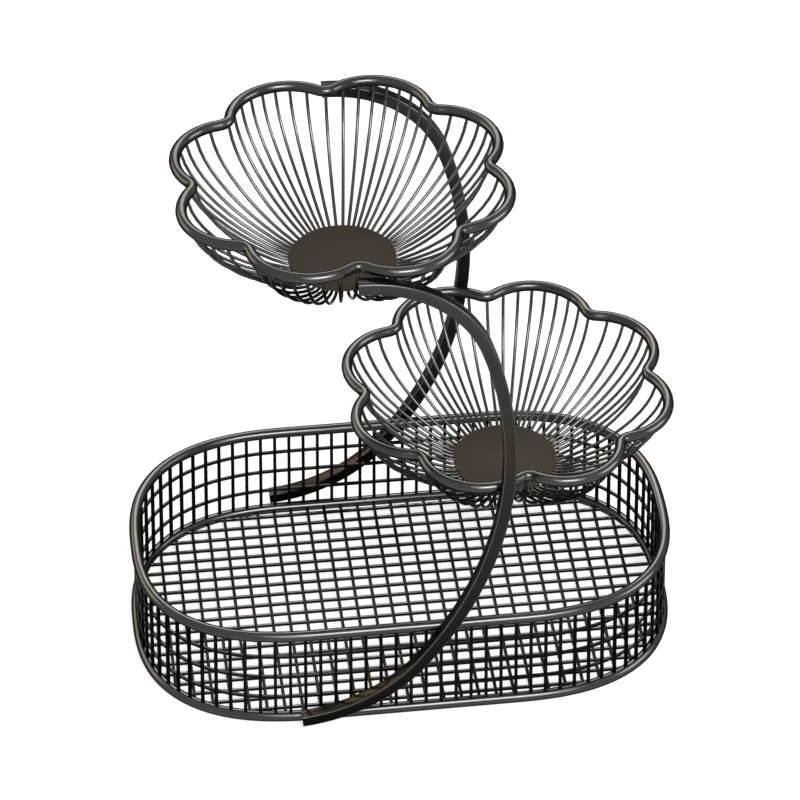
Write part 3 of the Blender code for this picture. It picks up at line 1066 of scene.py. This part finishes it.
@dataclass
class Bars:
    """Front and rear bar: square steel bent in three arcs, leaning inwards as it rises."""

    width: float = 0.0090
    corner: float = 0.0009
    corner_steps: int = 3
    smooth: float = math.radians(35)
    lean: float = math.radians(1.30)
    foot: float = 0.0050
    top: float = 0.39095
    start: float = -0.0413
    heading: float = math.radians(1.86)
    turns: tuple[float, float, float] = (math.radians(72.4), math.radians(57.6), math.radians(47.2))
    radius_shares: tuple[float, float, float] = (0.2303, 0.7486, 0.3152)
    step: float = math.radians(2.4)
    edge_share: float = 0.14
    top_slope: float = 0.25

    def arcs(self) -> list[tuple[Vector, float]]:
        """Fit the arcs between the top end and the foot.

        Returns:
            Centre in the bar's plane and turn of each arc, from the top end on.
        """
        x, z, heading = 0.0, 0.0, self.heading
        for share, turn in zip(self.radius_shares, self.turns):
            x += share * (math.sin(heading) - math.sin(heading - turn))
            z += share * (math.cos(heading - turn) - math.cos(heading))
            heading -= turn
        foot_tilt = self.width / 2 * abs(math.cos(heading))
        scale = (self.top - self.foot - foot_tilt) / -z
        x, z, heading = self.start, self.top, self.heading
        made = []
        for share, turn in zip(self.radius_shares, self.turns):
            radius = share * scale
            centre = Vector((x + radius * math.sin(heading), 0.0, z - radius * math.cos(heading)))
            made.append((centre, turn))
            heading -= turn
            x = centre.x - radius * math.sin(heading)
            z = centre.z + radius * math.cos(heading)
        return made

    def bar(self, name: str, side: int) -> bpy.types.Object:
        """Bend one bar.

        Args:
            name: Name of the piece.
            side: -1 at the front and 1 at the rear.

        Returns:
            The bar.
        """
        bpy.ops.object.select_all(action="DESELECT")
        bpy.ops.mesh.primitive_plane_add(size=self.width, location=(self.start, 0.0, self.top),
                                         rotation=(0.0, math.pi / 2 - self.heading, 0.0))
        piece = named(name)
        settle(piece)
        open_mesh(piece)
        bpy.ops.mesh.bevel(offset=self.corner, offset_type="OFFSET", segments=self.corner_steps,
                           affect="VERTICES")
        bpy.ops.mesh.select_all(action="SELECT")
        for centre, turn in self.arcs():
            bpy.ops.mesh.spin(steps=round(turn / self.step), angle=-turn, center=centre, axis=(0.0, 1.0, 0.0))
        close_mesh()
        seal(piece, self.smooth)
        low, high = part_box(name)
        outer = high.y if side > 0 else -low.y
        ground = outer - self.width / 2 / math.cos(self.lean) + self.foot * math.tan(self.lean)
        stretch = Matrix.Diagonal((1.0, 1.0, 1 / math.cos(self.lean), 1.0))
        tilt = Matrix.Rotation(side * self.lean, 4, "X")
        piece.data.transform(Matrix.Translation((0.0, side * ground, 0.0)) @ tilt @ stretch)
        return piece

    def build(self, finishes: Finishes) -> list[bpy.types.Object]:
        """Bend both bars, and paint painted shade onto their upper faces and a painted highlight onto their
        rounded edges.

        Args:
            finishes: The finishes of the whole part.

        Returns:
            The bars.
        """
        made = []
        paint, top_painted_light = finishes.bar.material(), finishes.bar_top_painted_light.material()
        edge_painted_highlight = finishes.bar_edge_painted_highlight.material()
        for name, side in (("front_bar", -1), ("rear_bar", 1)):
            piece = self.bar(name, side)
            piece.name = name + "_bent"
            made.append(dress(piece, paint, [name]))
            faces = piece.data.polygons
            # The upper faces take painted shade, and the narrow faces of the rounded edges a painted
            # highlight
            narrow = self.edge_share * max(face.area for face in faces if len(face.vertices) == 4)
            repaint(piece, top_painted_light, [face.index for face in faces if face.normal.z > self.top_slope])
            repaint(piece, edge_painted_highlight, [face.index for face in faces if face.area < narrow])
        return made


# Studio


@dataclass(frozen=True)
class Lamp:
    """A soft rectangular lamp aimed at the stand."""

    name: str
    place: Place
    size: tuple[float, float]
    level: float
    tint: Colour = (1.0, 1.0, 1.0)
    target: Place = (0.0, 0.0, 0.20)

    def switch_on(self) -> None:
        """Add the lamp, with its power worked out from its level and size."""
        data = bpy.data.lights.new(self.name, "AREA")
        data.shape = "RECTANGLE"
        data.size, data.size_y = self.size
        data.color = self.tint
        data.energy = self.level * self.size[0] * self.size[1] * math.pi
        lamp = bpy.data.objects.new(self.name, data)
        bpy.context.scene.collection.objects.link(lamp)
        aim = Vector(self.target) - Vector(self.place)
        lamp.location = self.place
        lamp.rotation_euler = aim.to_track_quat("-Z", "Y").to_euler()
        lamp.visible_camera = False


@dataclass(frozen=True)
class Studio:
    """Plain pale floor, white surroundings, soft lamps and the camera."""

    eye: Place = (-0.2586, -2.1076, 1.9372)
    gaze: Place = (0.09437, 0.76762, -0.63389)
    lens: float = 172.35
    sensor: float = 36.0
    floor_size: float = 12.0
    floor_gap: float = 0.0002
    floor_colour: float = 0.36
    floor_lift: float = 0.72
    near_floor: float = 0.60
    fill: float = 0.05
    lamps: tuple[Lamp, ...] = (
        Lamp("broad front", (0.24, -1.45, 1.35), (1.30, 1.50), 4.6),
        Lamp("key", (0.24, -1.31, 1.36), (0.62, 0.46), 22.0),
        Lamp("right card", (1.55, -0.35, 0.85), (0.90, 0.70), 9.0),
        Lamp("back card", (0.18, 1.46, 1.40), (1.20, 0.80), 9.0, (1.0, 0.97, 0.92)),
        Lamp("warm card", (-1.35, 1.05, 0.72), (1.90, 0.85), 4.4, (1.0, 0.84, 0.62)),
    )

    def world(self) -> None:
        """White surroundings for the eye and for gloss, and an even fill for the rest."""
        world = bpy.data.worlds.new("studio")
        world.use_nodes = True
        bpy.context.scene.world = world
        bench = PaintBench(world.node_tree)
        strength = self.fill + bench.shown() * (1 - self.fill)
        glow = bench.node("ShaderNodeBackground", {}, {"Color": WHITE, "Strength": strength})
        bench.node("ShaderNodeOutputWorld", {}, {"Surface": glow})

    def floor(self) -> None:
        """Lay a pale floor that reads white and keeps the stand's shadow.

        Past the near floor it grows brighter, and it is quite white at twice that distance.
        """
        bpy.ops.object.select_all(action="DESELECT")
        bpy.ops.mesh.primitive_plane_add(size=self.floor_size, location=(0.0, 0.0, -self.floor_gap))
        piece = named("studio_floor")
        settle(piece)
        paint = bpy.data.materials.new("studio floor")
        paint.use_nodes = True
        bench = PaintBench(paint.node_tree)
        tone = (self.floor_colour,) * 3 + (1.0,)
        matt = bench.node("ShaderNodeBsdfDiffuse", {}, {"Color": tone})
        away = bench.node("ShaderNodeVectorMath", {"operation": "LENGTH"}, {0: bench.place()}, "Value")
        far = ((away - self.near_floor) * (1.0 / self.near_floor)).clamped()
        level = self.floor_lift + far * (1.0 - self.floor_lift)
        lift = bench.node("ShaderNodeEmission", {}, {"Color": WHITE, "Strength": bench.shown() * level})
        both = bench.node("ShaderNodeAddShader", {}, {0: matt, 1: lift})
        bench.node("ShaderNodeOutputMaterial", {}, {"Surface": both})
        piece.data.materials.append(paint)

    def camera(self) -> None:
        """Camera at the photograph's viewing angle."""
        data = bpy.data.cameras.new("camera")
        data.sensor_width = self.sensor
        data.lens = self.lens
        eye = bpy.data.objects.new("camera", data)
        bpy.context.scene.collection.objects.link(eye)
        eye.location = self.eye
        eye.rotation_euler = Vector(self.gaze).to_track_quat("-Z", "Y").to_euler()
        bpy.context.scene.camera = eye

    def build(self) -> None:
        """Set up the whole studio."""
        self.camera()
        self.world()
        self.floor()
        for lamp in self.lamps:
            lamp.switch_on()
        bpy.context.scene.view_settings.view_transform = "Standard"


def main() -> None:
    """Build the studio and every sub-assembly in order, and report each piece."""
    logging.basicConfig(level=logging.INFO, format="%(name)s: %(message)s")
    Studio().build()
    finishes = Finishes()
    frame_wire, rib_wire = finishes.frame_wire.material(), finishes.rib_wire.material()
    pieces = Basket().build(finishes)
    pieces += Bars().build(finishes)
    disc = finishes.disc.material()
    for name in ("upper_bowl", "lower_bowl"):
        pieces += Bowl(name).build(frame_wire, rib_wire, disc)
    for piece in pieces:
        LOG.info("%s: %d faces", piece.name, len(piece.data.polygons))


if __name__ == "__main__":
    main()
